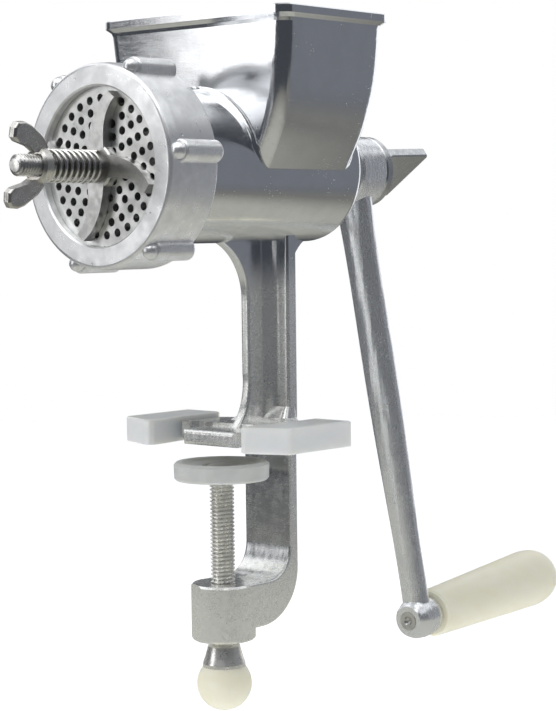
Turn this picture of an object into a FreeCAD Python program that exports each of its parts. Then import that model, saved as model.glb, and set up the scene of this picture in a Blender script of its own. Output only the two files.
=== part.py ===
import FreeCAD, Part
import math
import os

# Hand-cranked food mincer / pellet press with a table clamp.
# Frame: +Z up, barrel axis along Y with the outlet facing -Y, +X to the right of someone
# facing the outlet from behind.  Origin: on the clamp-screw axis, level with the underside
# of the upper jaw, so the table top is the plane z = 0.  Millimetres.

V = FreeCAD.Vector
X = V(1, 0, 0)
Y = V(0, 1, 0)
Z = V(0, 0, 1)
os.makedirs("parts", exist_ok=True)

# ---- driving dimensions -------------------------------------------------------------
AXIS_Z = 107.0          # height of the barrel axis above the table top
FIT = 0.05              # radial running clearance

FRONT_Y = -64.0         # front face of the ring nut
RING_R = 37.5
RING_OPEN_R = 29.0
RING_LEN = 24.0
RING_LIP = 3.4
LUGS = 6
LUG_R = 4.2
LUG_CENTRE_R = 37.6
LUG_START_DEG = 67.0

PLATE_R = 31.0
PLATE_T = 5.0
PLATE_Y = FRONT_Y + RING_LIP + 0.1
PLATE_HOLE_R = 1.55
PLATE_RINGS = ((7.4, 8), (11.7, 13), (16.0, 18), (20.4, 23), (24.8, 28))

NOSE_R = 33.4
BARREL_R = 28.5
BORE_R = 25.5
BARREL_REAR_Y = 55.0
CHAMBER_REAR_Y = 45.0
BOSS_R = 15.0
BOSS_REAR_Y = 71.5
JOURNAL_R = 10.0

RIM_Z = 165.6
RIM_BAND = 3.2
WALL = 3.0
# hopper outside sections: height, half width, front y, rear y, corner radius
HOPPER = (
    (98.0, 25.5, -7.6, 46.8, 6.0),
    (107.0, 29.0, -8.2, 47.2, 6.0),
    (117.0, 34.6, -9.0, 47.2, 6.0),
    (127.0, 39.6, -10.0, 46.8, 6.0),
    (137.0, 43.0, -11.2, 46.2, 5.8),
    (148.0, 45.2, -12.0, 45.6, 5.6),
    (159.6, 46.3, -12.6, 45.3, 5.4),
)
RIM_HALF_X = 48.1
RIM_FRONT_Y = -14.9
RIM_REAR_Y = 47.9
RIM_CORNER = 5.6

SPINE_HALF = 12.0
SPINE_FRONT_Y = 26.5
SPINE_REAR_Y = 31.4
RIB_HALF = 2.15
RIB_FRONT_Y = 14.5
REAR_RIB_Y = 39.0
JAW_TOP = 7.8
CLAMP_DEPTH_Z = -53.5
BOSS_BOTTOM_Z = -75.5
CLAMP_BOSS_R = 12.5

STUD_R = 3.95
STUD_TIP_Y = -103.0
CUTTER_T = 4.0
CUTTER_Y = PLATE_Y - 0.1 - CUTTER_T
CUTTER_TIP_R = 27.0
NUT_FRONT_Y = -94.0
NUT_REAR_Y = -89.9
NUT_R = 6.5
EAR_TURN_DEG = 9.0

CRANK_Y = 80.2
CRANK_HUB_R = 14.4
CRANK_HUB_LEN = 15.4
CRANK_L = 187.7
CRANK_TURN_DEG = 7.9
CRANK_LEAN_DEG = 3.5
SQUARE = 12.0
GRIP_LEN = 83.5
GRIP_R0 = 9.9
GRIP_R1 = 12.5
TAB_TURN_DEG = 36.0

SCREW_R = 4.8
DISC_R = 18.6
DISC_TOP_Z = -6.0
DISC_BOTTOM_Z = -13.0
KNOB_Z = -93.0
KNOB_R = 10.7


# ---- small helpers ------------------------------------------------------------------
def cyl_y(r, y0, y1, x=0.0, z=AXIS_Z):
    return Part.makeCylinder(r, y1 - y0, V(x, y0, z), Y)


def cyl_z(r, z0, z1, x=0.0, y=0.0):
    return Part.makeCylinder(r, z1 - z0, V(x, y, z0), Z)


def box(x0, x1, y0, y1, z0, z1):
    return Part.makeBox(x1 - x0, y1 - y0, z1 - z0, V(x0, y0, z0))


def turned_y(profile, z=AXIS_Z):
    """Solid of revolution about the barrel axis from (y, radius) points."""
    pts = [V(0, y, z + r) for y, r in profile]
    face = Part.Face(Part.makePolygon(pts + [pts[0]]))
    return face.revolve(V(0, 0, z), Y, 360)


def turned_z(profile, x=0.0, y=0.0):
    """Solid of revolution about a vertical axis from (radius, z) points."""
    pts = [V(x + r, y, z) for r, z in profile]
    face = Part.Face(Part.makePolygon(pts + [pts[0]]))
    return face.revolve(V(x, y, 0), Z, 360)


def prism(points, direction):
    face = Part.Face(Part.makePolygon(list(points) + [points[0]]))
    return face.extrude(direction)


def profile_prism(start, steps, x0, x1):
    """A prism along X from a closed outline in the YZ plane.  A step is (y, z) for a straight side,
    or ((y, z), (y, z)) for an arc through the first point to the second."""
    def at(yz):
        return V(x0, yz[0], yz[1])
    edges, here = [], at(start)
    for step in list(steps) + [start]:
        if isinstance(step[0], tuple):
            edges.append(Part.Arc(here, at(step[0]), at(step[1])).toShape())
            here = at(step[1])
        else:
            edges.append(Part.makeLine(here, at(step)))
            here = at(step)
    return Part.Face(Part.Wire(edges)).extrude(V(x1 - x0, 0, 0))


def rounded_rect(half_x, y0, y1, z, r):
    """Closed horizontal wire of four lines and four corner arcs."""
    k = r * (1.0 - math.sqrt(0.5))
    a, b = half_x, half_x - r
    p = [V(-b, y0, z), V(b, y0, z), V(a - k, y0 + k, z), V(a, y0 + r, z), V(a, y1 - r, z),
         V(a - k, y1 - k, z), V(b, y1, z), V(-b, y1, z), V(k - a, y1 - k, z), V(-a, y1 - r, z),
         V(-a, y0 + r, z), V(k - a, y0 + k, z)]
    edges = [
        Part.makeLine(p[0], p[1]), Part.Arc(p[1], p[2], p[3]).toShape(),
        Part.makeLine(p[3], p[4]), Part.Arc(p[4], p[5], p[6]).toShape(),
        Part.makeLine(p[6], p[7]), Part.Arc(p[7], p[8], p[9]).toShape(),
        Part.makeLine(p[9], p[10]), Part.Arc(p[10], p[11], p[0]).toShape(),
    ]
    return Part.Wire(edges)


def fillet_where(shape, radius, test):
    """Round the edges whose middle point and shape pass the test."""
    edges = [e for e in shape.Edges if test(e)]
    return shape.makeFillet(radius, edges) if edges else shape


def middle(edge):
    return edge.valueAt((edge.FirstParameter + edge.LastParameter) / 2.0)


def is_round(edge, y, r, x=0.0, z=AXIS_Z):
    """A full circle of radius r about the line through x, z along Y, at that y."""
    bb = edge.BoundBox
    return (abs(bb.YMin - y) < 0.01 and abs(bb.YMax - y) < 0.01
            and abs(bb.XMax - x - r) < 0.01 and abs(bb.ZMax - z - r) < 0.01)


def is_along_x(edge, y, z):
    m = middle(edge)
    return abs(m.x) < 0.01 and abs(m.y - y) < 0.01 and abs(m.z - z) < 0.01


def is_vertical(edge):
    d = edge.valueAt(edge.LastParameter) - edge.valueAt(edge.FirstParameter)
    return abs(d.x) < 1e-6 and abs(d.y) < 1e-6 and abs(d.z) > 1e-6


def largest(shape):
    """A fused shape as one clean solid."""
    solids = sorted(shape.Solids, key=lambda s: s.Volume)
    return solids[-1]


def mirrored_x(shape):
    return shape.mirror(V(0, 0, 0), X)


def save(name, shape):
    shape.exportStep("parts/%s.step" % name)
    b = shape.BoundBox
    print("%-22s solids %d valid %s  x %.1f..%.1f y %.1f..%.1f z %.1f..%.1f" % (
        name, len(shape.Solids), shape.isValid(), b.XMin, b.XMax, b.YMin, b.YMax, b.ZMin, b.ZMax))


# ---- the main casting ---------------------------------------------------------------
def barrel_outside():
    shape = turned_y([
        (PLATE_Y + 2.0, 0), (PLATE_Y + 2.0, NOSE_R - 0.6), (PLATE_Y + 2.6, NOSE_R),
        (FRONT_Y + RING_LEN - 1.0, NOSE_R), (FRONT_Y + RING_LEN + 2.0, BARREL_R + 0.8),
        (FRONT_Y + RING_LEN + 4.0, BARREL_R),
        (BARREL_REAR_Y, BARREL_R), (BARREL_REAR_Y, BOSS_R + 1.2),
        (BARREL_REAR_Y + 1.2, BOSS_R), (BOSS_REAR_Y - 0.8, BOSS_R),
        (BOSS_REAR_Y, BOSS_R - 0.8), (BOSS_REAR_Y, 0)])
    return fillet_where(shape, 4.0, lambda e: is_round(e, BARREL_REAR_Y, BARREL_R))


def barrel_inside():
    seat_y = PLATE_Y + PLATE_T
    return turned_y([
        (PLATE_Y, 0), (PLATE_Y, PLATE_R + FIT), (seat_y, PLATE_R + FIT), (seat_y, BORE_R),
        (CHAMBER_REAR_Y, BORE_R), (CHAMBER_REAR_Y, JOURNAL_R + FIT),
        (BOSS_REAR_Y + 1, JOURNAL_R + FIT), (BOSS_REAR_Y + 1, 0)])


def hopper_outside():
    walls = Part.makeLoft([rounded_rect(a, y0, y1, z, r) for z, a, y0, y1, r in HOPPER], True)
    z, a, y0, y1, r = HOPPER[-1]
    lip = Part.makeLoft([
        rounded_rect(a, y0, y1, z, r),
        rounded_rect(a + 0.35, y0 - 0.4, y1 + 0.5, z + 1.3, r),
        rounded_rect(RIM_HALF_X - 0.5, RIM_FRONT_Y + 0.7, RIM_REAR_Y - 0.8, RIM_Z - RIM_BAND - 0.5, r),
        rounded_rect(RIM_HALF_X, RIM_FRONT_Y, RIM_REAR_Y, RIM_Z - RIM_BAND, RIM_CORNER)], True, True)
    band = Part.makeLoft([
        rounded_rect(RIM_HALF_X, RIM_FRONT_Y, RIM_REAR_Y, RIM_Z - RIM_BAND, RIM_CORNER),
        rounded_rect(RIM_HALF_X, RIM_FRONT_Y, RIM_REAR_Y, RIM_Z - 0.5, RIM_CORNER),
        rounded_rect(RIM_HALF_X - 0.5, RIM_FRONT_Y + 0.5, RIM_REAR_Y - 0.5, RIM_Z, RIM_CORNER)],
        True, True)
    return walls.fuse(lip).fuse(band)


def hopper_inside():
    sections = [rounded_rect(a - WALL, y0 + WALL, y1 - WALL, z, r - 2.2)
                for z, a, y0, y1, r in HOPPER[1:]]
    z, a, y0, y1, r = HOPPER[-1]
    sections.append(rounded_rect(a - WALL + 0.9, y0 + WALL - 0.8, y1 - WALL + 0.8, RIM_Z + 1, 2.4))
    return Part.makeLoft(sections, True)


def neck():
    """Column between the barrel and the jaw: a cross web with a front rib and a rear rib."""
    top = AXIS_Z - 20.0
    flange = box(-SPINE_HALF, SPINE_HALF, SPINE_FRONT_Y, SPINE_REAR_Y, 2.0, top)
    front = profile_prism((SPINE_FRONT_Y + 1, 2.0), [
        (5.0, 2.0), (5.0, 4.0), ((12.2, 13.0), (RIB_FRONT_Y, 27.0)), (RIB_FRONT_Y, 55.0),
        ((10.2, 70.0), (-3.0, 79.5)), (-3.0, top), (SPINE_FRONT_Y + 1, top)], -RIB_HALF, RIB_HALF)
    front = fillet_where(front, 1.1, lambda e: abs(abs(middle(e).x) - RIB_HALF) < 0.01
                         and middle(e).y < RIB_FRONT_Y + 0.1 and 3.0 < middle(e).z < 79.6)
    body = flange.fuse(front).removeSplitter()
    body = fillet_where(body, 5.5, lambda e: is_vertical(e) and abs(abs(middle(e).x) - RIB_HALF) < 0.01
                        and abs(middle(e).y - SPINE_FRONT_Y) < 0.01)
    body = fillet_where(body, 1.2, lambda e: is_vertical(e) and abs(abs(middle(e).x) - SPINE_HALF) < 0.01
                        and abs(middle(e).y - SPINE_FRONT_Y) < 0.01)
    rear = profile_prism((SPINE_REAR_Y - 1, -50.0), [
        ((REAR_RIB_Y - 1.5, -43.0), (REAR_RIB_Y, -34.0)), (REAR_RIB_Y, 60.0),
        ((REAR_RIB_Y + 2.6, 72.0), (REAR_RIB_Y + 10.5, 79.5)), (REAR_RIB_Y + 10.5, top),
        (SPINE_REAR_Y - 1, top)], -RIB_HALF, RIB_HALF)
    foot = Part.makeLoft([
        rounded_rect(SPINE_HALF + 3.5, SPINE_FRONT_Y - 7.0, SPINE_REAR_Y, JAW_TOP - 0.5, 3.0),
        rounded_rect(SPINE_HALF + 1.2, SPINE_FRONT_Y - 4.0, SPINE_REAR_Y, JAW_TOP + 1.6, 3.0),
        rounded_rect(SPINE_HALF, SPINE_FRONT_Y - 1.0, SPINE_REAR_Y, JAW_TOP + 6.0, 2.0)], True, True)
    return body.fuse(rear).fuse(foot)


def jaw_outline():
    """Half outline of the upper jaw seen from above, right-hand side, front to back."""
    return [(12.6, -7.6), (13.8, -6.2), (13.8, 3.0), (14.7, 6.6), (17.4, 9.0), (20.6, 9.6),
            (24.0, 8.0), (25.6, 4.6), (25.4, -12.6), (27.0, -13.8), (40.4, -8.6), (41.4, -7.0),
            (41.4, 24.8), (27.5, 24.8), (22.0, 28.5), (12.0, SPINE_REAR_Y)]


def jaw():
    """Upper jaw plate: a middle tongue flush with the table top and two arms set 1.5 mm higher."""
    half = jaw_outline()
    pts = [V(x, y, 0) for x, y in half] + [V(-x, y, 0) for x, y in reversed(half)]
    plate = prism(pts, V(0, 0, JAW_TOP))
    plate = plate.cut(box(-15.2, 15.2, -12.0, 9.5, JAW_TOP - 1.4, JAW_TOP + 1.0))
    plate = plate.cut(box(-15.2, 15.2, -12.0, 9.5, -1.0, 0.5))
    plate = fillet_where(plate, 1.6, lambda e: abs(middle(e).y + 7.6) < 0.01 and e.Length > 20.0)
    cut = box(16.0, 60.0, -30.0, 60.0, -5.0, 1.5)
    return plate.cut(cut).cut(mirrored_x(cut))


def c_frame():
    """Spine behind the table edge and the lower arm that carries the screw boss."""
    floor_z = BOSS_BOTTOM_Z + 4.5
    arm = profile_prism((SPINE_REAR_Y, 4.0), [
        (SPINE_REAR_Y, floor_z), (0.0, floor_z), (0.0, CLAMP_DEPTH_Z), (SPINE_FRONT_Y, CLAMP_DEPTH_Z),
        (SPINE_FRONT_Y, 4.0)], -SPINE_HALF, SPINE_HALF)
    arm = fillet_where(arm, 21.0, lambda e: is_along_x(e, SPINE_REAR_Y, floor_z))
    arm = fillet_where(arm, 12.0, lambda e: is_along_x(e, SPINE_FRONT_Y, CLAMP_DEPTH_Z))
    arm = fillet_where(arm, 1.0, lambda e: abs(abs(middle(e).x) - SPINE_HALF) < 0.01
                       and middle(e).y > 0.5 and middle(e).z < 3.9)
    boss = turned_z([
        (0, BOSS_BOTTOM_Z), (CLAMP_BOSS_R - 0.8, BOSS_BOTTOM_Z), (CLAMP_BOSS_R, BOSS_BOTTOM_Z + 0.8),
        (CLAMP_BOSS_R, CLAMP_DEPTH_Z - 0.8), (CLAMP_BOSS_R - 0.8, CLAMP_DEPTH_Z), (0, CLAMP_DEPTH_Z)])
    flat = box(-20.0, 20.0, -30.0, -(CLAMP_BOSS_R - 1.1), BOSS_BOTTOM_Z - 1, CLAMP_DEPTH_Z + 1)
    flat.rotate(V(0, 0, 0), Z, -25.0)
    boss = boss.cut(flat)
    return arm.fuse(boss)


def hopper_on_barrel():
    """The two outsides joined, with a soft bead where the hopper's end walls meet the barrel."""
    shape = barrel_outside().fuse(hopper_outside()).Solids[0]
    return fillet_where(shape, 2.2, lambda e: 100.0 < e.BoundBox.ZMin and e.BoundBox.ZMax < 137.0
                        and e.Length > 20.0 and abs(middle(e).x) > 5.0
                        and (-13.0 < middle(e).y < -5.0 or 45.0 < middle(e).y < 49.0))


def body_casting():
    shape = hopper_on_barrel().fuse(neck()).fuse(jaw()).fuse(c_frame())
    shape = shape.cut(barrel_inside()).cut(hopper_inside())
    shape = shape.cut(cyl_z(SCREW_R + FIT, BOSS_BOTTOM_Z - 1, CLAMP_DEPTH_Z + 1))
    pin_z = AXIS_Z - PLATE_R + 0.4
    shape = shape.cut(cyl_y(1.5, PLATE_Y, PLATE_Y + PLATE_T + 5.0, 0.0, pin_z))
    return largest(shape.removeSplitter())


def plate_locating_pin():
    pin_z = AXIS_Z - PLATE_R + 0.4
    return cyl_y(1.5, PLATE_Y + 2.2, PLATE_Y + PLATE_T + 5.0, 0.0, pin_z)


def jaw_cap():
    """Plastic shoe over one jaw arm, right-hand side."""
    outer = prism([V(43.2, 26.7, 0), V(43.2, -8.4, 0), V(42.2, -9.6, 0), V(26.2, -15.7, 0),
                   V(24.2, -15.2, 0), V(23.2, -13.4, 0), V(23.6, -6.6, 0), V(25.5, 4.0, 0),
                   V(25.5, 26.7, 0)], V(0, 0, 10.0))
    outer = fillet_where(outer, 1.2, lambda e: is_vertical(e) and middle(e).y < 0.0)
    outer = fillet_where(outer, 0.9, lambda e: middle(e).z > 9.9)
    outer = fillet_where(outer, 0.5, lambda e: middle(e).z < 0.1)
    return largest(outer.cut(jaw_arm_block()))


def jaw_arm_block():
    """The part of the jaw above the arms' underside, used to shape the shoes' pockets."""
    half = jaw_outline()
    pts = [V(x, y, 1.5) for x, y in half] + [V(-x, y, 1.5) for x, y in reversed(half)]
    return prism(pts, V(0, 0, JAW_TOP - 1.5))


# ---- outlet parts -------------------------------------------------------------------
def ring_nut():
    rear = FRONT_Y + RING_LEN
    shell = turned_y([
        (FRONT_Y, RING_OPEN_R + 0.6), (FRONT_Y, RING_R - 0.4), (FRONT_Y + 5.0, RING_R),
        (rear, RING_R), (rear, NOSE_R + FIT),
        (FRONT_Y + RING_LIP, NOSE_R + FIT), (FRONT_Y + RING_LIP, RING_OPEN_R),
        (FRONT_Y + 0.6, RING_OPEN_R)])
    shell = fillet_where(shell, 1.5, lambda e: is_round(e, FRONT_Y, RING_R - 0.4))
    shell = fillet_where(shell, 0.9, lambda e: is_round(e, rear, RING_R))
    for i in range(LUGS):
        a = math.radians(LUG_START_DEG + 360.0 * i / LUGS)
        x, z = LUG_CENTRE_R * math.cos(a), AXIS_Z + LUG_CENTRE_R * math.sin(a)
        lug = cyl_y(LUG_R, FRONT_Y + 4.2, rear - 0.6, x, z)
        lug = fillet_where(lug, 1.0, lambda e: is_round(e, FRONT_Y + 4.2, LUG_R, x, z))
        lug = fillet_where(lug, 1.4, lambda e: is_round(e, rear - 0.6, LUG_R, x, z))
        button = Part.makeSphere(3.1, V(x * 1.012, FRONT_Y + 3.7, AXIS_Z + (z - AXIS_Z) * 1.012))
        lug = lug.fuse(button).cut(cyl_y(NOSE_R + 1.0, FRONT_Y - 2, rear + 1))
        shell = shell.fuse(lug)
    return largest(shell.removeSplitter())


def perforated_plate():
    disc = turned_y([
        (PLATE_Y, 0), (PLATE_Y, PLATE_R - 0.5), (PLATE_Y + 0.5, PLATE_R),
        (PLATE_Y + PLATE_T, PLATE_R), (PLATE_Y + PLATE_T, 0)])
    holes = [cyl_y(STUD_R + FIT, PLATE_Y - 1, PLATE_Y + PLATE_T + 1)]
    for k, (radius, count) in enumerate(PLATE_RINGS):
        for i in range(count):
            a = 2 * math.pi * (i + 0.3 * k) / count
            holes.append(cyl_y(PLATE_HOLE_R, PLATE_Y - 1, PLATE_Y + PLATE_T + 1,
                               radius * math.cos(a), AXIS_Z + radius * math.sin(a)))
    notch = cyl_y(1.9, PLATE_Y - 1, PLATE_Y + PLATE_T + 1, 0.0, AXIS_Z - PLATE_R + 0.4)
    return disc.cut(Part.makeCompound(holes)).cut(notch)


def cutter_arm():
    """One curved blade, root towards +Z, sweeping clockwise seen from the front."""
    left, right = [], []
    steps = 9
    for i in range(steps):
        t = i / (steps - 1.0)
        r = 5.0 + (CUTTER_TIP_R - 5.0) * t
        lean = math.radians(17.0) * t * t + math.radians(1.5)
        half = 4.3 - 2.3 * t
        cx, cz = r * math.sin(lean), r * math.cos(lean)
        tx, tz = math.cos(lean + 0.6 * t * 0.6), -math.sin(lean + 0.6 * t * 0.6)
        left.append(V(cx - half * tx, 0, AXIS_Z + cz - half * tz))
        right.append(V(cx + half * tx, 0, AXIS_Z + cz + half * tz))
    curve = []
    for side in (left, right):
        s = Part.BSplineCurve()
        s.interpolate(side)
        curve.append(s.toShape())
    wire = Part.Wire([curve[0], Part.makeLine(left[-1], right[-1]), curve[1],
                      Part.makeLine(right[0], left[0])])
    blade = Part.Face(wire).extrude(V(0, CUTTER_T, 0))
    blade.translate(V(0, CUTTER_Y, 0))
    return blade


def double_d(r, flat, y0, y1):
    return cyl_y(r, y0, y1).common(box(-flat, flat, y0, y1, AXIS_Z - 20, AXIS_Z + 20))


def cross_cutter():
    shape = turned_y([
        (CUTTER_Y, 0), (CUTTER_Y, 7.6), (CUTTER_Y + 0.6, 8.2), (CUTTER_Y + CUTTER_T, 8.2),
        (CUTTER_Y + CUTTER_T, 0)])
    blade = cutter_arm()
    for i in range(4):
        b = blade.copy()
        b.rotate(V(0, 0, AXIS_Z), Y, 90.0 * i)
        shape = shape.fuse(b)
    bore = double_d(STUD_R + FIT, 3.3 + FIT, CUTTER_Y - 1, CUTTER_Y + CUTTER_T + 1)
    return largest(shape.removeSplitter().cut(bore))


def front_stud():
    """Threaded stud screwed into the feed screw, with two flats that drive the cutter."""
    stud = turned_y([
        (STUD_TIP_Y, 0), (STUD_TIP_Y, STUD_R - 1.0), (STUD_TIP_Y + 1.0, STUD_R),
        (-36.0, STUD_R), (-36.0, 0)])
    flat_zone = box(3.3, 9, CUTTER_Y - 2.5, CUTTER_Y + CUTTER_T + 0.1, AXIS_Z - 9, AXIS_Z + 9)
    return stud.cut(flat_zone).cut(mirrored_x(flat_zone))


def cutter_spring():
    wire_r = 0.65
    y0, y1 = NUT_REAR_Y + wire_r + 0.02, CUTTER_Y - wire_r - 0.02
    helix = Part.makeHelix(2.72, y1 - y0, 5.45)
    profile = Part.Wire([Part.makeCircle(wire_r, V(5.45, 0, 0), V(0, 1, 0))])
    coil = Part.Wire(helix).makePipeShell([profile], True, True)
    coil.rotate(V(0, 0, 0), X, -90)
    coil.translate(V(0, y0, AXIS_Z))
    return coil


def wing_nut():
    boss = turned_y([
        (NUT_FRONT_Y, 0), (NUT_FRONT_Y, 5.2), (NUT_FRONT_Y + 0.9, 6.2), (NUT_REAR_Y - 0.5, NUT_R),
        (NUT_REAR_Y, NUT_R - 0.5), (NUT_REAR_Y, 0)])
    ear = [(-90.2, 4.4), (-89.9, 7.6), (-92.0, 10.2), (-98.0, 14.2), (-101.0, 15.2), (-104.2, 15.0),
           (-105.6, 13.0), (-105.8, 9.6), (-104.4, 8.3), (-98.0, 6.5), (-94.4, 4.4)]
    for sign in (1, -1):
        pts = [V(-1.9, y, AXIS_Z + sign * r) for y, r in ear]
        wing = prism(pts, V(3.8, 0, 0))
        wing = fillet_where(wing, 1.1, lambda e: abs(abs(middle(e).x) - 1.9) < 0.01
                            and abs(middle(e).z - AXIS_Z) > 8.0)
        boss = boss.fuse(wing)
    boss = boss.cut(cyl_y(5.2, NUT_FRONT_Y - 20.0, NUT_FRONT_Y + 1.6))
    boss.rotate(V(0, 0, AXIS_Z), Y, EAR_TURN_DEG)
    return largest(boss.removeSplitter().cut(cyl_y(STUD_R + FIT, -110, -80)))


# ---- feed screw and drive -----------------------------------------------------------
def feed_screw():
    core = turned_y([
        (-53.0, 0), (-53.0, 7.5), (-51.0, 8.5), (34.0, 12.0), (38.0, 14.5), (42.0, 14.5), (42.0, JOURNAL_R),
        (BOSS_REAR_Y + 0.3, JOURNAL_R), (BOSS_REAR_Y + 0.3, 0)])
    square = turn_crank(box(-SQUARE / 2, SQUARE / 2, BOSS_REAR_Y, CRANK_Y + CRANK_HUB_LEN / 2 - 0.6,
                            AXIS_Z - SQUARE / 2, AXIS_Z + SQUARE / 2))
    turns_len = 82.0
    helix = Part.makeHelix(24.0, turns_len, 7.0)
    tooth = Part.Wire(Part.makePolygon([
        V(6.0, 0, -3.2), V(24.9, 0, -1.3), V(24.9, 0, 1.3), V(6.0, 0, 3.2), V(6.0, 0, -3.2)]))
    flight = Part.Wire(helix).makePipeShell([tooth], True, True)
    flight.rotate(V(0, 0, 0), X, -90)
    flight.translate(V(0, -47.0, AXIS_Z))
    shape = core.fuse(flight).fuse(square)
    shape = shape.cut(cyl_y(STUD_R, -54.0, -36.0)).cut(cyl_y(STUD_R + FIT, 58.0, 95.0))
    return largest(shape)


def thrust_washer():
    return cyl_y(19.0, 42.1, CHAMBER_REAR_Y - 0.1).cut(cyl_y(JOURNAL_R + FIT, 40, 46))


def lean(shape):
    """Lean the crank's lower parts outwards about the hub's middle."""
    shape.rotate(V(0, CRANK_Y, AXIS_Z), X, CRANK_LEAN_DEG)
    return shape


def turn_crank(shape):
    """Turn about the barrel axis into the rest pose."""
    shape.rotate(V(0, 0, AXIS_Z), Y, -CRANK_TURN_DEG)
    return shape


def oval(half_x, half_y, z):
    e = Part.Ellipse(V(0, CRANK_Y, z), half_x, half_y)
    return Part.Wire([e.toShape()])


def crank_arm():
    y0, y1 = CRANK_Y - CRANK_HUB_LEN / 2, CRANK_Y + CRANK_HUB_LEN / 2
    hub = turned_y([
        (y0, 0), (y0, CRANK_HUB_R - 1.0), (y0 + 1.0, CRANK_HUB_R), (y1 - 0.5, CRANK_HUB_R),
        (y1, CRANK_HUB_R - 0.5), (y1, 0)])
    low_z = AXIS_Z - CRANK_L
    arm = Part.makeLoft([
        oval(9.0, 6.6, AXIS_Z - 6.0), oval(7.8, 6.0, AXIS_Z - 22.0), oval(7.3, 5.7, AXIS_Z - 60.0),
        oval(5.9, 4.9, low_z + 10.0), oval(6.2, 5.2, low_z)], True)
    c = CRANK_Y
    eye = turned_y([
        (c - 7.2, 0), (c - 7.2, 6.1), (c - 6.4, 6.9), (c - 3.6, 8.1), (c, 8.5), (c + 4.0, 8.3),
        (c + 6.6, 7.6), (c + 7.2, 7.0), (c + 7.2, 0)], low_z)
    lower = lean(arm.fuse(eye).cut(handle_screw_shape(FIT, True)))
    shape = hub.fuse(lower)
    square = box(-SQUARE / 2 - FIT, SQUARE / 2 + FIT, y0 - 1, y1 + 1,
                 AXIS_Z - SQUARE / 2 - FIT, AXIS_Z + SQUARE / 2 + FIT)
    return turn_crank(largest(shape.removeSplitter().cut(square)))


def handle_screw_shape(gap, for_hole):
    """Pin through the eye and the grip; its front end is riveted into the eye's countersink."""
    c, z = CRANK_Y, AXIS_Z - CRANK_L
    front = c - 7.4 if not for_hole else c - 7.3
    g = 0.0 if not for_hole else gap
    end = c + 8.0 + GRIP_LEN - 3.0
    return turned_y([
        (front, 0), (front, 3.9 + g), (front + 1.6, 3.0 + g), (end - 3.0, 3.0 + g),
        (end - 3.0, 5.6 + g), (end - 0.8, 5.6 + g), (end, 4.2 + g), (end, 0)], z)


def handle_spindle():
    c, z = CRANK_Y, AXIS_Z - CRANK_L
    pin = handle_screw_shape(0.0, False)
    dimple = turned_y([(c - 8.0, 0), (c - 8.0, 2.4), (c - 6.6, 1.5), (c - 5.6, 0)], z)
    return turn_crank(lean(pin.cut(dimple)))


def handle_grip():
    c, z = CRANK_Y + 8.0, AXIS_Z - CRANK_L
    n = 10
    profile = [(c, 3.0 + FIT), (c, GRIP_R0 - 0.8), (c + 0.8, GRIP_R0)]
    profile.append((c + GRIP_LEN - 12.0, GRIP_R1))
    for i in range(1, n):
        a = math.radians(90.0 * i / n)
        profile.append((c + GRIP_LEN - 12.0 + 12.0 * math.sin(a), GRIP_R1 - 4.6 * (1 - math.cos(a))))
    profile += [(c + GRIP_LEN, 7.6), (c + GRIP_LEN, 6.0), (c + GRIP_LEN - 6.4, 6.0),
                (c + GRIP_LEN - 6.4, 3.0 + FIT)]
    return turn_crank(lean(turned_y(profile, z)))


def rear_wing_screw():
    y0 = CRANK_Y + CRANK_HUB_LEN / 2 + 0.1
    head = turned_y([
        (62.0, 0), (62.0, STUD_R - 1.0), (63.0, STUD_R), (y0, STUD_R), (y0, CRANK_HUB_R - 0.6),
        (y0 + 0.6, CRANK_HUB_R), (y0 + 3.6, CRANK_HUB_R), (y0 + 5.0, CRANK_HUB_R - 1.8), (y0 + 5.0, 0)])
    tab = prism([
        V(-12.2, y0 + 4.0, AXIS_Z - 2.1), V(-13.2, y0 + 7.0, AXIS_Z - 2.1),
        V(-14.4, y0 + 30.6, AXIS_Z - 2.1), V(14.4, y0 + 30.6, AXIS_Z - 2.1),
        V(13.2, y0 + 7.0, AXIS_Z - 2.1), V(12.2, y0 + 4.0, AXIS_Z - 2.1)], V(0, 0, 4.2))
    tab = fillet_where(tab, 1.6, lambda e: is_vertical(e) and middle(e).y > y0 + 20)
    tab = fillet_where(tab, 0.8, lambda e: not is_vertical(e) and middle(e).y > y0 + 6)
    tab.rotate(V(0, 0, AXIS_Z), Y, -TAB_TURN_DEG)
    return largest(head.fuse(tab).removeSplitter())


# ---- clamp --------------------------------------------------------------------------
def clamp_screw():
    """Screw with a neck that carries the disc and a flared collar above the knob."""
    return turned_z([
        (0, KNOB_Z - 4.0), (4.2, KNOB_Z - 4.0), (4.2, -88.0), (8.3, -86.5), (8.3, -85.0), (7.4, -82.4),
        (6.6, -79.6), (6.3, -78.2), (SCREW_R, -77.4), (SCREW_R, DISC_BOTTOM_Z - 0.8),
        (SCREW_R - 0.7, DISC_BOTTOM_Z - 0.1), (3.2, DISC_BOTTOM_Z - 0.1), (3.2, DISC_TOP_Z - 2.4),
        (0, DISC_TOP_Z - 2.4)])


def clamp_knob():
    """Plastic ball moulded on the lower end of the clamp screw."""
    return largest(Part.makeSphere(KNOB_R, V(0, 0, KNOB_Z)).cut(clamp_screw()))


def clamp_disc():
    z0, z1 = DISC_BOTTOM_Z, DISC_TOP_Z
    return turned_z([
        (3.2 + FIT, z0), (DISC_R - 0.9, z0), (DISC_R - 0.2, z0 + 0.8), (DISC_R, z1 - 1.0),
        (DISC_R - 1.0, z1), (DISC_R - 3.2, z1), (DISC_R - 5.0, z1 - 1.0), (7.6, z1 - 1.5),
        (6.6, z1 - 2.3), (3.2 + FIT, z1 - 2.3)])


def disc_rivet():
    """Low rivet head that keeps the disc on the screw's neck."""
    z1 = DISC_TOP_Z
    return turned_z([(0, z1 - 2.2), (5.6, z1 - 2.2), (5.6, z1 - 1.6), (4.4, z1 - 1.0), (0, z1 - 0.8)])


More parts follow.
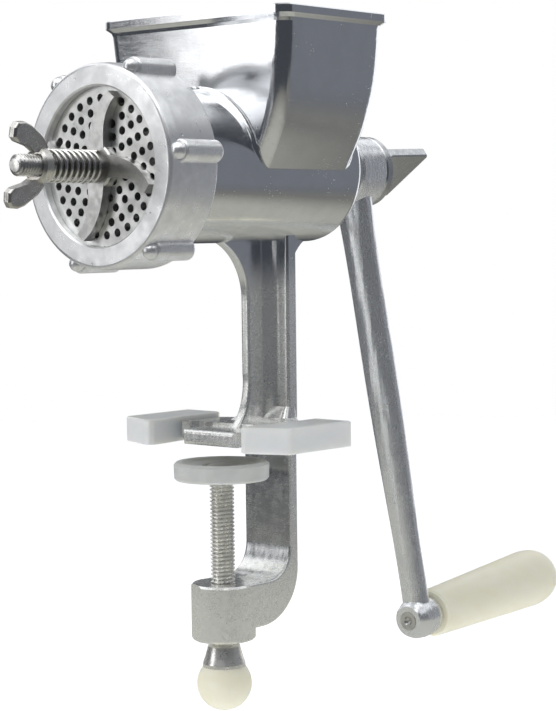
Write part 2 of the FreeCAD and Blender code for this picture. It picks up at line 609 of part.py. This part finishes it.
# ---- write every sub-part -----------------------------------------------------------
save("body_casting", body_casting())
save("plate_locating_pin", plate_locating_pin())
right_cap = jaw_cap()
save("jaw_cap_right", right_cap)
save("jaw_cap_left", mirrored_x(right_cap))
save("ring_nut", ring_nut())
save("perforated_plate", perforated_plate())
save("cross_cutter", cross_cutter())
save("front_stud", front_stud())
save("cutter_spring", cutter_spring())
save("wing_nut", wing_nut())
save("feed_screw", feed_screw())
save("thrust_washer", thrust_washer())
save("crank_arm", crank_arm())
save("handle_spindle", handle_spindle())
save("handle_grip", handle_grip())
save("rear_wing_screw", rear_wing_screw())
save("clamp_screw", clamp_screw())
save("clamp_knob", clamp_knob())
save("clamp_disc", clamp_disc())
save("disc_rivet", disc_rivet())
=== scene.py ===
import math

import bmesh
import bpy
from mathutils import Matrix, Vector


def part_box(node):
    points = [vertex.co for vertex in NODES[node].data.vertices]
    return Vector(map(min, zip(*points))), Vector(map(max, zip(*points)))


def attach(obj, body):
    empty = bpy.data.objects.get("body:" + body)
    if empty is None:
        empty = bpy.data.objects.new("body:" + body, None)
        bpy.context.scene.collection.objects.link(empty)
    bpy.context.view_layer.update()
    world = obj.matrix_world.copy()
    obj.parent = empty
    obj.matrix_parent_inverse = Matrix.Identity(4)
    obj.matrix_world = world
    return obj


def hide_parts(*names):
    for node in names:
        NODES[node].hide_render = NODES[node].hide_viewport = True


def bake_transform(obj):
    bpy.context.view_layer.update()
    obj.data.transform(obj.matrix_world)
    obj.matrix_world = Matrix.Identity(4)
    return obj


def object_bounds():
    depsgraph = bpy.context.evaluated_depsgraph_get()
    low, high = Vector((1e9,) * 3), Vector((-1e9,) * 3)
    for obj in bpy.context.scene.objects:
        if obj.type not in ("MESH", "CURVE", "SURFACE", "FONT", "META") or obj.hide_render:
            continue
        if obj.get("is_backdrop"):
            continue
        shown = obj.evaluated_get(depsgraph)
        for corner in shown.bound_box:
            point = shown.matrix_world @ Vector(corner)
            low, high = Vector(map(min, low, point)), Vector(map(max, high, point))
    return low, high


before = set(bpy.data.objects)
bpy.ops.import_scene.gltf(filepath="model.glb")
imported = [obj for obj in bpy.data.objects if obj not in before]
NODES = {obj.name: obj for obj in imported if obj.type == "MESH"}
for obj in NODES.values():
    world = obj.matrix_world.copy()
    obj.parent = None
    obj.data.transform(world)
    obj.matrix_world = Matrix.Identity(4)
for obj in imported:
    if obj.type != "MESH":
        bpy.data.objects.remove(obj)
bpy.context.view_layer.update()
MM = 0.001

# ---- where things are, in metres, from the frame ------------------------------------

STUD_LOW, STUD_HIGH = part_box("front_stud")
BARREL_AXIS_Z = (STUD_LOW.z + STUD_HIGH.z) / 2
STUD_R = (STUD_HIGH.x - STUD_LOW.x) / 2
SCREW_LOW, SCREW_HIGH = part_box("clamp_screw")
DISC_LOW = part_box("clamp_disc")[0]


# ---- node graphs --------------------------------------------------------------------

class Graph:
    """A node tree, with a short call for each kind of node that the finishes use."""

    def __init__(self, owner):
        owner.use_nodes = True
        self.owner = owner
        self.tree = owner.node_tree

    @classmethod
    def finish_named(cls, name):
        g = cls(bpy.data.materials.new(name))
        g.shader = next(n for n in g.tree.nodes if n.type == "BSDF_PRINCIPLED")
        metres = g.tree.nodes.new("ShaderNodeTexCoord").outputs["Object"]
        g.mm = g.vector("SCALE", metres, scale=1.0 / MM)
        return g

    def feed(self, socket, value):
        if isinstance(value, bpy.types.NodeSocket):
            self.tree.links.new(value, socket)
        else:
            socket.default_value = value

    def math(self, operation, *values, clamp=False):
        node = self.tree.nodes.new("ShaderNodeMath")
        node.operation = operation
        node.use_clamp = clamp
        for socket, value in zip(node.inputs, values):
            self.feed(socket, value)
        return node.outputs[0]

    def vector(self, operation, *values, scale=None):
        node = self.tree.nodes.new("ShaderNodeVectorMath")
        node.operation = operation
        for socket, value in zip(node.inputs, values):
            self.feed(socket, value)
        if scale is not None:
            self.feed(node.inputs["Scale"], scale)
        gives_number = operation in ("LENGTH", "DISTANCE", "DOT_PRODUCT")
        return node.outputs[1 if gives_number else 0]

    def split(self, vector):
        node = self.tree.nodes.new("ShaderNodeSeparateXYZ")
        self.feed(node.inputs[0], vector)
        return tuple(node.outputs)

    def join(self, x, y, z):
        node = self.tree.nodes.new("ShaderNodeCombineXYZ")
        for socket, value in zip(node.inputs, (x, y, z)):
            self.feed(socket, value)
        return node.outputs[0]

    def noise(self, scale, detail=3.0, stretch=None, where=None, distortion=0.0, rough=0.55):
        """Soft noise of about 1 / scale mm; stretch squeezes the pattern along each axis."""
        node = self.tree.nodes.new("ShaderNodeTexNoise")
        where = self.mm if where is None else where
        if stretch is not None:
            where = self.vector("MULTIPLY", where, stretch)
        self.feed(node.inputs["Vector"], where)
        node.inputs["Scale"].default_value = scale
        node.inputs["Detail"].default_value = detail
        node.inputs["Roughness"].default_value = rough
        node.inputs["Distortion"].default_value = distortion
        return node.outputs["Fac"]

    def cells(self, scale, stretch=None, where=None):
        """Distance to the nearest of many scattered points."""
        node = self.tree.nodes.new("ShaderNodeTexVoronoi")
        where = self.mm if where is None else where
        if stretch is not None:
            where = self.vector("MULTIPLY", where, stretch)
        self.feed(node.inputs["Vector"], where)
        node.inputs["Scale"].default_value = scale
        return node.outputs["Distance"]

    def span(self, value, low, high, out_low=0.0, out_high=1.0):
        """Smooth step of value from low..high to out_low..out_high."""
        node = self.tree.nodes.new("ShaderNodeMapRange")
        node.interpolation_type = "SMOOTHSTEP"
        for socket, number in zip(node.inputs, (value, low, high, out_low, out_high)):
            self.feed(socket, number)
        return node.outputs[0]

    def mix(self, factor, first, second):
        node = self.tree.nodes.new("ShaderNodeMix")
        node.data_type = "RGBA"
        self.feed(node.inputs["Factor"], factor)
        for socket, value in zip([s for s in node.inputs if s.type == "RGBA"], (first, second)):
            self.feed(socket, (*value, 1.0)[:4] if isinstance(value, tuple) else value)
        return next(s for s in node.outputs if s.type == "RGBA")

    def bump(self, height, depth_mm, under=None):
        """A height of 0 to 1 that stands depth_mm deep, over the bump given as under."""
        node = self.tree.nodes.new("ShaderNodeBump")
        node.inputs["Distance"].default_value = depth_mm * MM
        self.feed(node.inputs["Height"], height)
        if under is not None:
            self.feed(node.inputs["Normal"], under)
        return node.outputs[0]

    def finish(self, colour, roughness, normal=None, **constants):
        if isinstance(colour, tuple):
            colour = (*colour, 1.0)
        self.feed(self.shader.inputs["Base Color"], colour)
        self.feed(self.shader.inputs["Roughness"], roughness)
        if normal is not None:
            self.feed(self.shader.inputs["Normal"], normal)
        for name, value in constants.items():
            self.shader.inputs[name.replace("_", " ")].default_value = value
        return self.owner


# ---- finishes -----------------------------------------------------------------------

def polished_casting(name, grain=(0.05, 1.0, 1.0), tint=(0.88, 0.89, 0.905), gloss=0.13, waves=0.06,
                     pits=0.08, satin_below=None, satin=0.0, streaks=0.0):
    """Buffed cast aluminium: slow waves, buffing lines along one direction, pits and small dents.
    Below satin_below (mm) the casting was only tumbled and stays duller; satin dulls all of it.
    streaks is the depth in mm of the long ripples that hand finishing left along the Z direction."""
    g = Graph.finish_named(name)
    wave = g.noise(0.05, 1.5)
    lines = g.noise(2.6, 4.0, stretch=grain)
    cloud = g.noise(0.10, 4.0)
    pit_place = g.span(g.noise(0.09, 2.0), 0.56, 0.68)
    pit = g.math("MULTIPLY", g.span(g.cells(0.8), pits, pits + 0.10, 1.0, 0.0), pit_place)
    scratch = g.span(g.noise(1.4, 2.0, stretch=(1.0, 0.12, 1.3), distortion=1.5), 0.66, 0.70)
    colour = g.mix(g.span(cloud, 0.35, 0.75), tint, tuple(0.95 * c for c in tint))
    colour = g.mix(g.math("MULTIPLY", pit, 0.4), colour, (0.28, 0.29, 0.31))
    rough = g.span(cloud, 0.3, 0.75, gloss * 0.85, gloss * 1.3)
    rough = g.math("ADD", rough, g.math("MULTIPLY", g.span(lines, 0.4, 0.7), 0.05))
    rough = g.math("ADD", rough, g.math("MULTIPLY", pit, 0.35))
    metal = 1.0 - satin
    if satin_below is not None:
        y, z = g.split(g.mm)[1:]
        skin = g.noise(0.4, 3.0)
        dull = g.span(z, satin_below + 9.0, satin_below - 9.0)
        tumbled = g.mix(g.span(skin, 0.3, 0.7), (0.90, 0.90, 0.875), (0.86, 0.86, 0.835))
        colour = g.mix(dull, colour, tumbled)
        rough = g.math("ADD", rough, g.math("MULTIPLY", dull, g.span(skin, 0.3, 0.7, 0.07, 0.12)))
        # Inner C-frame face, facing -Y, low and towards the rear: real milling lines, and its colour
        # painted dark as painted shade, standing in for the dark reflection it shows where the front light
        # is blocked.
        facing = g.split(g.tree.nodes.new("ShaderNodeTexCoord").outputs["Normal"])[1]
        milled_and_painted_shade = g.math("MULTIPLY", g.span(facing, -0.75, -0.95), g.span(z, -2.0, -6.0))
        milled_and_painted_shade = g.math("MULTIPLY", milled_and_painted_shade, g.span(y, 18.0, 22.0))
        colour = g.mix(milled_and_painted_shade, colour, (0.60, 0.61, 0.62))
        loss = g.math("SUBTRACT", 0.24, g.math("MULTIPLY", milled_and_painted_shade, 0.2))
        metal = g.math("SUBTRACT", 1.0, g.math("MULTIPLY", dull, loss))
        lines = g.mix(dull, lines, g.noise(1.2, 3.0, stretch=(1.0, 1.0, 0.03)))
        lines = g.mix(milled_and_painted_shade, lines, g.noise(2.0, 3.0, stretch=(0.06, 1.0, 1.0)))
    normal = g.bump(wave, waves)
    if streaks:
        streak = g.noise(0.32, 1.5, stretch=(1.0, 1.0, 0.05))
        reach = streaks if satin_below is None else g.math("MULTIPLY", dull, streaks)
        normal = g.bump(g.math("MULTIPLY", streak, reach), 1.0, normal)
    normal = g.bump(lines, 0.005, normal)
    normal = g.bump(g.math("SUBTRACT", 1.0, scratch), 0.008, normal)
    normal = g.bump(g.math("SUBTRACT", 1.0, pit), 0.12, normal)
    g.feed(g.shader.inputs["Metallic"], metal)
    return g.finish(colour, rough, normal)


def turned_metal(name, tint, gloss, groove_mm=0.012, metal=1.0):
    """Metal with fine turning lines round the barrel's axis."""
    g = Graph.finish_named(name)
    x, y, z = g.split(g.mm)
    drop = g.math("SUBTRACT", z, BARREL_AXIS_Z / MM)
    radius = g.math("SQRT", g.math("ADD", g.math("MULTIPLY", x, x), g.math("MULTIPLY", drop, drop)))
    angle = g.math("ARCTAN2", drop, x)
    round_axis = g.join(radius, y, g.math("MULTIPLY", angle, 0.6))
    lines = g.noise(3.2, 3.0, where=round_axis)
    cloud = g.noise(0.2, 4.0)
    dent = g.span(g.cells(0.35), 0.10, 0.2, 1.0, 0.0)
    dent = g.math("MULTIPLY", dent, g.span(g.noise(0.1), 0.55, 0.65))
    colour = g.mix(g.span(cloud, 0.35, 0.7), tint, tuple(0.88 * c for c in tint))
    rough = g.span(cloud, 0.3, 0.7, gloss * 0.85, gloss * 1.3)
    rough = g.math("ADD", rough, g.math("MULTIPLY", lines, 0.08))
    normal = g.bump(g.noise(0.06, 1.5), 0.12)
    normal = g.bump(lines, groove_mm, normal)
    normal = g.bump(g.math("SUBTRACT", 1.0, dent), 0.12, normal)
    return g.finish(colour, rough, normal, Metallic=metal)


def satin_steel(name, tint, gloss, grain=(1.0, 1.0, 0.06), grain_mm=0.01, painted_shade_span=None, metal=1.0):
    """Plain or plated steel with a directional grain, small spots and dull patches.
    A (from, to) stretch in mm along Y can be given to paint dark: painted shade where the thread lies in
    shadow inside the nut and the spring."""
    g = Graph.finish_named(name)
    lines = g.noise(3.5, 3.0, stretch=grain)
    cloud = g.noise(0.35, 4.0)
    spot = g.span(g.cells(0.8), 0.06, 0.13, 1.0, 0.0)
    spot = g.math("MULTIPLY", spot, g.span(g.noise(0.2), 0.5, 0.62))
    colour = g.mix(g.span(cloud, 0.35, 0.7), tint, tuple(0.84 * c for c in tint))
    colour = g.mix(g.math("MULTIPLY", spot, 0.4), colour, (0.25, 0.24, 0.22))
    # Painted shade: the given stretch along Y is darkened as the shadow on the thread inside the nut and
    # the spring.
    if painted_shade_span is not None:
        y = g.split(g.mm)[1]
        painted_shade = g.math("MULTIPLY", g.span(y, painted_shade_span[0] - 1.5, painted_shade_span[0] + 1.5),
                       g.span(y, painted_shade_span[1] + 1.5, painted_shade_span[1] - 1.5))
        colour = g.mix(g.math("MULTIPLY", painted_shade, 0.75), colour, (0.13, 0.125, 0.12))
    rough = g.span(cloud, 0.3, 0.7, gloss * 0.8, gloss * 1.25)
    rough = g.math("ADD", rough, g.math("MULTIPLY", lines, 0.10))
    normal = g.bump(g.noise(0.25, 2.0), 0.12)
    normal = g.bump(lines, grain_mm, normal)
    return g.finish(colour, rough, normal, Metallic=metal)


def moulded_plastic(name, light, shade, gloss, depth_mm, glow=0.25):
    """Moulded plastic that lets some light in, with a faint flow pattern and scuffs."""
    g = Graph.finish_named(name)
    flow = g.noise(0.06, 3.0, stretch=(1.0, 0.5, 1.0), distortion=1.2)
    skin = g.noise(2.2, 3.0)
    scuff = g.span(g.noise(1.1, 2.0, stretch=(1.0, 0.1, 1.6), distortion=2.0), 0.66, 0.72)
    colour = g.mix(g.span(flow, 0.3, 0.75), light, shade)
    colour = g.mix(g.math("MULTIPLY", scuff, 0.3), colour, tuple(0.82 * c for c in shade))
    rough = g.span(skin, 0.3, 0.7, gloss * 0.85, gloss * 1.2)
    rough = g.math("ADD", rough, g.math("MULTIPLY", scuff, 0.15))
    normal = g.bump(skin, 0.02)
    normal = g.bump(g.math("SUBTRACT", 1.0, scuff), 0.02, normal)
    return g.finish(colour, rough, normal, Subsurface_Weight=glow, Subsurface_Radius=(1.0, 0.85, 0.6),
                    Subsurface_Scale=depth_mm * MM, IOR=1.48)


def dress(node, material):
    """Gives a CAD node one material all over."""
    slots = NODES[node].material_slots
    if not slots:
        NODES[node].data.materials.append(material)
    for place in slots:
        place.material = material


# ---- threaded pieces ----------------------------------------------------------------

THREAD_STEPS = 40       # points round a screw
THREAD_SLICES = 12      # rings in each turn of a thread


def thread_height(turn):
    """Height of a rolled thread, 0 at the root and 1 at the crest, as turn goes from 0 to 1."""
    rise = abs((turn % 1.0) * 2.0 - 1.0)
    return min(1.0, max(0.0, (rise - 0.12) / 0.72))


def lathe(name, outline, threads, along, pitch):
    """A turned piece about the line through along: (distance, radius) outline points, with helical
    threads cut on the (from, to, depth) stretches.  along makes a point of a distance and two offsets."""
    stations = []
    for (s0, r0), (s1, r1) in zip(outline, outline[1:]):
        count = max(1, math.ceil(abs(s1 - s0) / (pitch / THREAD_SLICES)))
        stations += [(s0 + (s1 - s0) * k / count, r0 + (r1 - r0) * k / count) for k in range(count)]
    stations.append(outline[-1])
    mesh = bmesh.new()
    rings = []
    for s, r in stations:
        ring = []
        for k in range(THREAD_STEPS):
            turn = k / THREAD_STEPS
            radius = r
            for start, end, depth in threads:
                if start <= s <= end:
                    fade = min(1.0, (s - start) / pitch, (end - s) / pitch)
                    crest = thread_height(s / pitch - turn)
                    radius = min(r, r - depth * fade * (1.0 - crest))
            across, up = radius * math.cos(math.tau * turn), radius * math.sin(math.tau * turn)
            ring.append(mesh.verts.new(along(s, across, up)))
        rings.append(ring)
    for low, high in zip(rings, rings[1:]):
        for k in range(THREAD_STEPS):
            n = (k + 1) % THREAD_STEPS
            mesh.faces.new((low[k], low[n], high[n], high[k]))
    mesh.faces.new(list(reversed(rings[0])))
    mesh.faces.new(rings[-1])
    bmesh.ops.recalc_face_normals(mesh, faces=mesh.faces)
    return link_mesh(name, mesh)


def link_mesh(name, mesh, smooth_deg=40.0):
    data = bpy.data.meshes.new(name)
    mesh.to_mesh(data)
    mesh.free()
    piece = bpy.data.objects.new(name, data)
    bpy.context.scene.collection.objects.link(piece)
    data.set_sharp_from_angle(angle=math.radians(smooth_deg))
    return piece


def along_barrel(s, a, b):
    return Vector((a, s, BARREL_AXIS_Z + b))


def up_screw(s, a, b):
    return Vector((a, b, s))


def front_stud(material):
    """The M8 stud: chamfered tip, a thread for the nut, a plain stretch, and a thread inside the worm."""
    tip, rear = STUD_LOW.y, STUD_HIGH.y
    pitch = 1.25 * MM
    plain_front, plain_rear = -66.0 * MM, -55.5 * MM
    outline = [(tip, STUD_R - pitch), (tip + 1.0 * MM, STUD_R), (rear - 0.5 * MM, STUD_R),
               (rear, STUD_R - 0.5 * MM)]
    threads = [(tip - pitch, plain_front, 0.72 * MM), (plain_rear, rear, 0.5 * MM)]
    stud = lathe("threaded_stud", outline, threads, along_barrel, pitch)
    stud.data.materials.append(material)
    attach(stud, "worm")
    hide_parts("front_stud")


def clamp_screw(material):
    """The clamp screw with its rolled thread, the flared collar and the neck that holds the pad."""
    thread_r = 4.8 * MM
    neck_r = 3.2 * MM
    thread_foot = -77.4 * MM
    foot, top = SCREW_LOW.z, SCREW_HIGH.z
    shoulder = DISC_LOW.z - 0.1 * MM
    collar = [(z * MM, r * MM) for z, r in ((-88.0, 4.2), (-86.5, 8.3), (-85.0, 8.3), (-82.4, 7.4),
                                            (-79.6, 6.6), (-78.2, 6.3))]
    outline = [(foot, 4.2 * MM), *collar, (thread_foot, thread_r), (DISC_LOW.z - 0.8 * MM, thread_r),
               (shoulder, thread_r - 0.7 * MM), (shoulder, neck_r), (top, neck_r)]
    threads = [(thread_foot, DISC_LOW.z, 0.85 * MM)]
    screw = lathe("threaded_clamp_screw", outline, threads, up_screw, 1.5 * MM)
    screw.data.materials.append(material)
    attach(screw, "clamp_spindle")
    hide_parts("clamp_screw")


def coil_spring(material):
    """The cutter's spring: a copy of the CAD coil with its own finish, baked in place."""
    node = NODES["cutter_spring"]
    coil = bpy.data.objects.new("coil_spring", node.data.copy())
    bpy.context.scene.collection.objects.link(coil)
    coil.matrix_world = node.matrix_world.copy()
    coil.data.materials.clear()
    coil.data.materials.append(material)
    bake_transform(coil)
    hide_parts("cutter_spring")


# ---- stage --------------------------------------------------------------------------

FLOOR_DROP = 0.040          # below the knob at rest, so that the clamp screw can go down
FLOOR_RINGS = (0.001, 0.6, 1.6)
FLOOR_SIDES = 96


def floor():
    """A wide, flat, pale floor."""
    g = Graph.finish_named("studio_floor")
    grain = g.noise(0.02, 3.0)
    colour = g.mix(g.span(grain, 0.3, 0.7), (0.90, 0.90, 0.90), (0.87, 0.87, 0.88))
    material = g.finish(colour, g.span(grain, 0.3, 0.7, 0.55, 0.65), Emission_Strength=0.45,
                        Emission_Color=(1.0, 1.0, 1.0, 1.0), Specular_IOR_Level=0.0)
    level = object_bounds()[0].z - FLOOR_DROP
    mesh = bmesh.new()
    rings = []
    for r in FLOOR_RINGS:
        turns = [math.tau * k / FLOOR_SIDES for k in range(FLOOR_SIDES)]
        rings.append([mesh.verts.new((r * math.cos(turn), r * math.sin(turn), level)) for turn in turns])
    for inner, outer in zip(rings, rings[1:]):
        for k in range(FLOOR_SIDES):
            n = (k + 1) % FLOOR_SIDES
            mesh.faces.new((inner[k], outer[k], outer[n], inner[n]))
    mesh.faces.new(rings[0])
    ground = link_mesh("studio_floor", mesh)
    ground.data.materials.append(material)
    ground.visible_glossy = False
    ground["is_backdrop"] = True


CARD_DROP = 0.0006          # below the knob at rest
CARD_R = 0.46
CARD_FADE = 0.26            # from here out the card darkens towards its rim


def table_card():
    """What the lower parts mirror of the table: a disc under the knob that only reflections see."""
    material = bpy.data.materials.new("table_reflection")
    g = Graph(material)
    shader = next(n for n in g.tree.nodes if n.type == "BSDF_PRINCIPLED")
    shader.inputs["Base Color"].default_value = (0.0, 0.0, 0.0, 1.0)
    shader.inputs["Specular IOR Level"].default_value = 0.0
    metres = g.tree.nodes.new("ShaderNodeTexCoord").outputs["Object"]
    reach = g.span(g.vector("LENGTH", metres), CARD_FADE, CARD_R)
    g.feed(shader.inputs["Emission Color"], g.mix(reach, (0.43, 0.43, 0.385), (0.17, 0.17, 0.16)))
    shader.inputs["Emission Strength"].default_value = 1.0
    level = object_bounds()[0].z - CARD_DROP
    mesh = bmesh.new()
    bmesh.ops.create_circle(mesh, cap_ends=True, segments=96, radius=CARD_R,
                            matrix=Matrix.Translation((0.0, 0.0, level)))
    card = link_mesh("table_card", mesh)
    card.data.materials.append(material)
    card.visible_camera = False
    card.visible_diffuse = False
    card.visible_shadow = False
    card.visible_transmission = False
    card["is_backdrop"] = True


def softbox(name, toward, distance, size, power, aim=(0.0, 0.0, 0.05)):
    """A rectangular light, distance out from aim along toward, that faces aim."""
    data = bpy.data.lights.new(name, "AREA")
    data.shape = "RECTANGLE"
    data.size, data.size_y = size
    data.energy = power
    light = bpy.data.objects.new(name, data)
    bpy.context.scene.collection.objects.link(light)
    away = Vector(toward).normalized()
    light.location = Vector(aim) + away * distance
    light.rotation_mode = "QUATERNION"
    light.rotation_quaternion = away.to_track_quat("Z", "Y")
    light.visible_camera = False


# What the room looks like from the machine: (middle azimuth, half width, lowest and highest
# elevation, softness, colour), in degrees, azimuth 0 towards the outlet and 90 to the right.
ROOM = (0.055, 0.06, 0.07)
PANELS = (
    (0, 180, -100, -38, 8, (0.40, 0.40, 0.36)),        # table top
    (160, 62, -45, -20, 8, (0.20, 0.20, 0.185)),       # table behind and beside
    (140, 28, -22, 26, 6, (0.17, 0.18, 0.205)),        # dark wall, back right
    (-172, 22, -18, 50, 4, (1.10, 1.12, 1.15)),        # back light
    (-108, 22, 4, 40, 5, (0.85, 0.87, 0.90)),          # left window
    (-30, 75, 34, 58, 6, (1.30, 1.32, 1.35)),          # front overhead bank
    (150, 75, 34, 58, 6, (1.00, 1.02, 1.05)),          # rear overhead bank
    (176, 4.5, 28, 52, 1.5, (0.10, 0.11, 0.12)),       # dark gap between the rear banks
    (0, 180, 60, 100, 8, (0.60, 0.61, 0.63)),          # ceiling
)


def studio_world():
    """White to the camera.  To everything it lights or that reflects it, a dim room with lit panels."""
    world = bpy.data.worlds.new("studio")
    bpy.context.scene.world = world
    g = Graph(world)
    x, y, z = g.split(g.tree.nodes.new("ShaderNodeTexCoord").outputs["Generated"])
    azimuth = g.math("ARCTAN2", x, g.math("MULTIPLY", y, -1.0))
    elevation = g.math("DEGREES", g.math("ARCSINE", z))
    colour = (*ROOM, 1.0)
    for middle, half, low, high, soft, tint in PANELS:
        turn = g.math("COSINE", g.math("SUBTRACT", azimuth, math.radians(middle)))
        off = g.math("DEGREES", g.math("ARCCOSINE", turn))
        inside = g.span(elevation, low - soft, low + soft)
        inside = g.math("MULTIPLY", inside, g.span(elevation, high + soft, high - soft))
        if half < 180:
            inside = g.math("MULTIPLY", inside, g.span(off, half + soft, half - soft))
        colour = g.mix(inside, colour, (*tint, 1.0))
    seen = g.tree.nodes.new("ShaderNodeLightPath").outputs["Is Camera Ray"]
    colour = g.mix(seen, colour, (1.0, 1.0, 1.0, 1.0))
    g.feed(g.tree.nodes["Background"].inputs["Color"], colour)


def camera():
    """The viewing angle: right of the outlet, a little above the barrel."""
    data = bpy.data.cameras.new("camera")
    data.sensor_width = 36.0
    data.lens = 100.97
    data.clip_end = 20.0
    eye = bpy.data.objects.new("camera", data)
    bpy.context.scene.collection.objects.link(eye)
    place = Vector((0.52323, -0.56479, 0.08517))
    ahead = Vector((-0.65653, 0.75147, -0.06528)).normalized()
    right = Vector((0.75354, 0.65729, -0.01203)).normalized()
    up = right.cross(ahead)
    turn = Matrix((right, up, -ahead)).transposed()
    eye.matrix_world = Matrix.Translation(place) @ turn.to_4x4()
    bpy.context.scene.camera = eye


def lights():
    softbox("overhead", (0.1, -0.25, 1.0), 0.9, (0.9, 0.9), 3.0)
    softbox("front_left", (-0.46, -0.72, 0.2), 0.72, (0.315, 0.62), 0.95, aim=(0.0, -0.02, 0.11))


def build():
    dress("body_casting", polished_casting("polished_aluminium_casting", satin_below=66.0, streaks=0.16))
    dress("ring_nut", turned_metal("turned_aluminium", (0.93, 0.935, 0.94), 0.27, metal=0.82))
    dress("crank_arm", polished_casting("polished_crank", grain=(1.0, 1.0, 0.05), gloss=0.22, pits=0.10,
                                         waves=0.3, satin=0.2, streaks=0.30))
    dress("perforated_plate", turned_metal("ground_plate", (0.80, 0.805, 0.79), 0.33))
    dress("cross_cutter", satin_steel("cutter_steel", (0.72, 0.715, 0.70), 0.3))
    coil_spring(satin_steel("spring_wire", (0.88, 0.87, 0.84), 0.16))
    dress("wing_nut", satin_steel("nickelled_wing_nut", (0.74, 0.72, 0.68), 0.24))
    dress("rear_wing_screw", satin_steel("plated_wing_screw", (0.72, 0.73, 0.74), 0.24))
    dress("handle_spindle", satin_steel("plated_rivet", (0.74, 0.74, 0.73), 0.28))
    dress("plate_locating_pin", satin_steel("pin_steel", (0.7, 0.7, 0.7), 0.3))
    dress("disc_rivet", satin_steel("pad_rivet", (0.7, 0.7, 0.7), 0.3))
    dress("feed_screw", polished_casting("raw_worm_casting", gloss=0.4, tint=(0.7, 0.71, 0.72)))
    cream = moulded_plastic("cream_plastic", (0.93, 0.90, 0.74), (0.90, 0.86, 0.67), 0.38, 2.5)
    milky = moulded_plastic("milky_plastic", (0.83, 0.835, 0.815), (0.79, 0.795, 0.78), 0.35, 4.0, glow=0.5)
    for node in ("handle_grip", "clamp_knob"):
        dress(node, cream)
    for node in ("jaw_cap_left", "jaw_cap_right"):
        dress(node, milky)
    greyed = moulded_plastic("greyed_pad_plastic", (0.62, 0.63, 0.61), (0.52, 0.53, 0.51), 0.4, 3.0)
    dress("clamp_disc", greyed)
    dress("thrust_washer", milky)
    # The stud's thread behind the tip, from -92 to -64 mm along Y, gets painted shade for the shadow inside
    # the nut and the spring.
    front_stud(satin_steel("stud_thread_painted_shade", (0.80, 0.79, 0.77), 0.26, painted_shade_span=(-92.0, -64.0)))
    clamp_screw(satin_steel("zinc_plated_screw", (0.90, 0.89, 0.85), 0.24, metal=0.85))


build()
floor()
table_card()
studio_world()
lights()
camera()
view = bpy.context.scene.view_settings
view.view_transform = "Standard"
